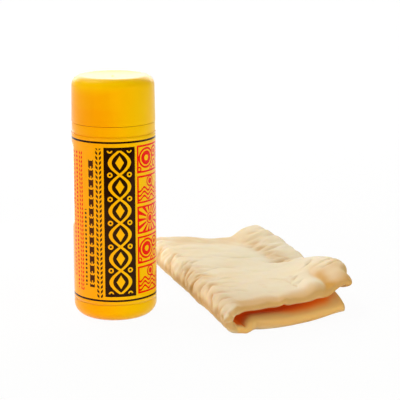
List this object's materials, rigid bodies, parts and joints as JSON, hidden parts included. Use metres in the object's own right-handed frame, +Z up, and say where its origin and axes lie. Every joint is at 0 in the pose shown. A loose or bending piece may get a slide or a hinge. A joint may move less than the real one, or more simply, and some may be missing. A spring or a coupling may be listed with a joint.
{
  "type": "synthetic chamois cloth with canister",
  "caption": "Folded synthetic chamois drying cloth beside its tall round plastic canister with a printed wrap label and a screw cap.",
  "frame": {"origin": "centre of the canister's flat base, on the surface that the whole set stands on", "axes": "+Z up along the canister's axis, -Y towards the viewer of the set, +X towards the side where the folded cloth lies"},
  "size_m": [0.22, 0.25, 0.192],
  "materials": {
    "canister_plastic": "smooth moulded amber plastic with a soft gloss",
    "label_film": "glossy printed film, amber with dark and red panels",
    "cap_plastic": "smooth, slightly translucent amber plastic",
    "seal_foam": "soft off-white liner ring",
    "chamois": "matte, softly wrinkled cream chamois with a fine nap"
  },
  "bodies": {
    "canister": {"canister_body": "canister_plastic", "canister_label": "label_film"},
    "seal": {"cap_seal": "seal_foam"},
    "cap": {"canister_cap": "cap_plastic"},
    "cloth": {"chamois_cloth": "chamois"}
  },
  "joints": [
    {"name": "cap_lift", "type": "slide", "parent": "canister", "child": "seal", "axis": [0, 0, 1], "range_m": [0, 0.0241]},
    {"name": "cap_turn", "type": "hinge", "parent": "seal", "child": "cap", "pos_m": [0, 0, 0.1561], "axis": [0, 0, 1], "range_deg": [0, 1080]},
    {"name": "cloth_lift", "type": "slide", "parent": "canister", "child": "cloth", "axis": [0, 0, 1], "range_m": [0, 0.12]}
  ],
  "couplings": [
    {"joint": "cap_lift", "follows": "cap_turn", "m_per_rad": 0.0012732}
  ]
}
